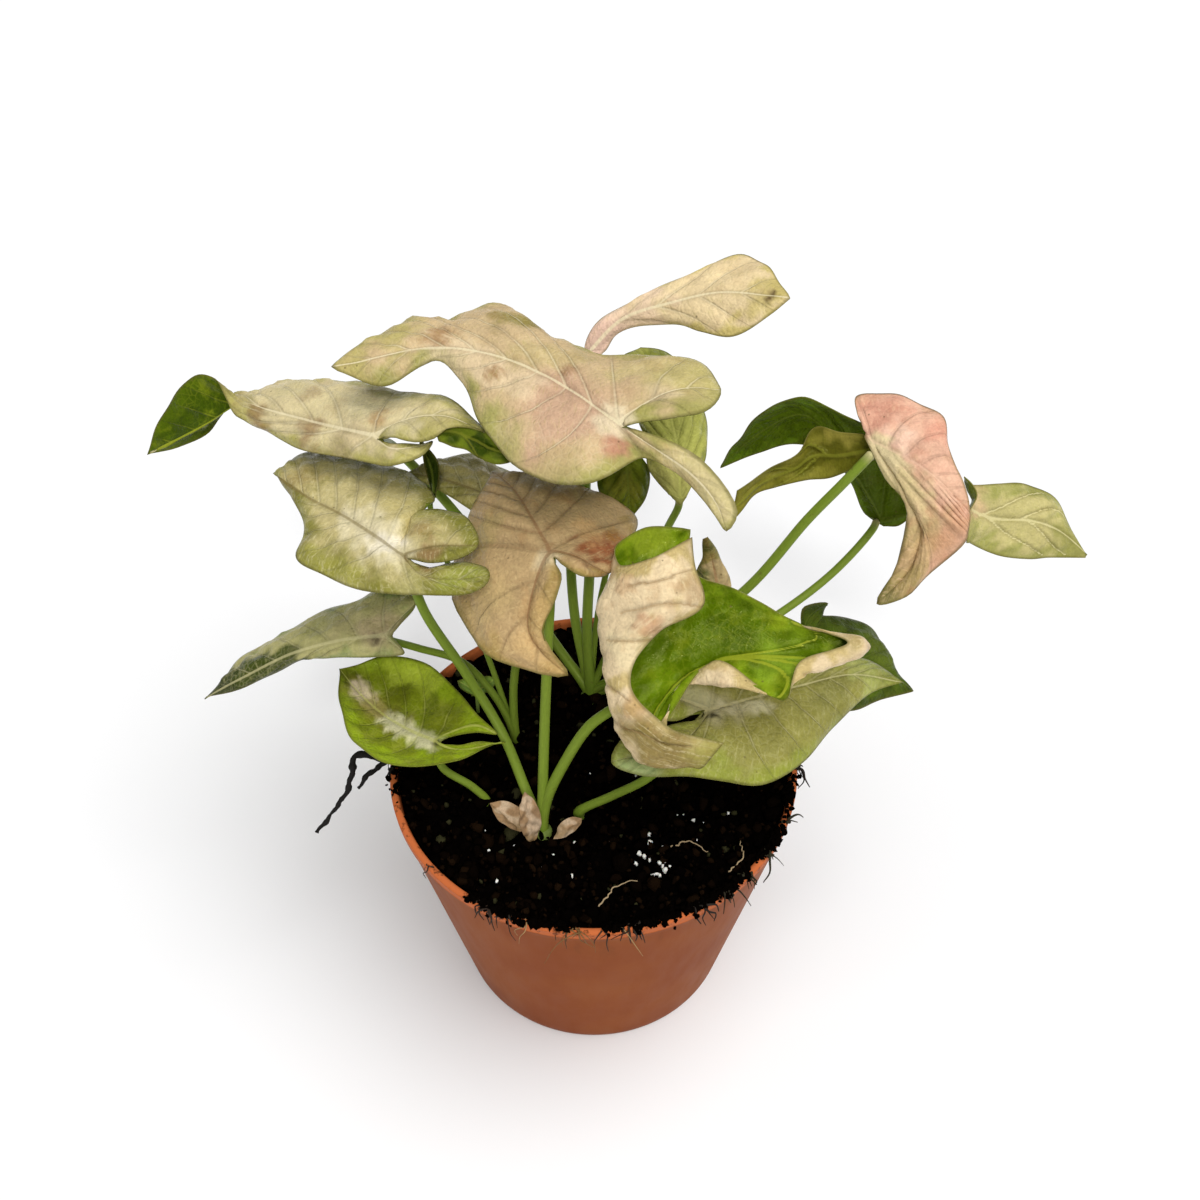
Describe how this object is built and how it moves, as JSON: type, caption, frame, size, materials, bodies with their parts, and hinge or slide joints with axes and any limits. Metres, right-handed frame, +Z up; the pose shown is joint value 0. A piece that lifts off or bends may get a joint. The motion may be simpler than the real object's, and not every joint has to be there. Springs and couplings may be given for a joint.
{
  "type": "potted arrowhead plant",
  "caption": "Potted arrowhead plant: cream, pink and green arrow-shaped leaves on arching stems, standing in soil in a tapered round nursery pot.",
  "frame": {"origin": "centre of the pot's flat base, on the surface it stands on", "axes": "+Z up along the pot's axis, +X to the right along the plant's widest spread, -Y towards the viewer"},
  "size_m": [0.2759, 0.1541, 0.2044],
  "materials": {
    "pot_plastic": "thin smooth terracotta-brown plastic, slightly glossy",
    "soil": "moist dark peat mix, rough",
    "stem": "smooth waxy green skin",
    "cream_leaf": "soft satin, cream to pale peach with green margins",
    "mottled_leaf": "soft satin, yellow-green with cream flecks",
    "grey_green_leaf": "soft satin, pale grey-green with cream veins",
    "peach_leaf": "soft satin, peach",
    "pink_leaf": "soft satin, salmon pink",
    "green_leaf": "semi-gloss, bright green",
    "dark_leaf": "semi-gloss, dark green",
    "sheath": "dry papery tan",
    "root": "dry dark brown"
  },
  "bodies": {
    "root": {"pot": "pot_plastic", "soil": "soil", "shoot_front": "stem", "shoot_left": "stem", "shoot_right": "stem", "shoot_middle": "stem", "shoot_back": "stem", "leaf_top": "cream_leaf", "leaf_left": "cream_leaf", "leaf_mottled": "mottled_leaf", "leaf_spear": "dark_leaf", "leaf_lower_left": "grey_green_leaf", "leaf_small_green": "green_leaf", "leaf_centre": "peach_leaf", "leaf_flag": "cream_leaf", "leaf_behind": "grey_green_leaf", "leaf_upright": "green_leaf", "leaf_hanging": "dark_leaf", "leaf_pink": "pink_leaf", "leaf_dark_back": "dark_leaf", "leaf_front": "grey_green_leaf", "leaf_dark_side": "dark_leaf", "leaf_new": "peach_leaf", "leaf_rolled": "cream_leaf", "sheath_left": "sheath", "sheath_middle": "sheath", "sheath_right": "sheath", "seedling": "green_leaf", "stray_root": "root"}
  },
  "joints": []
}
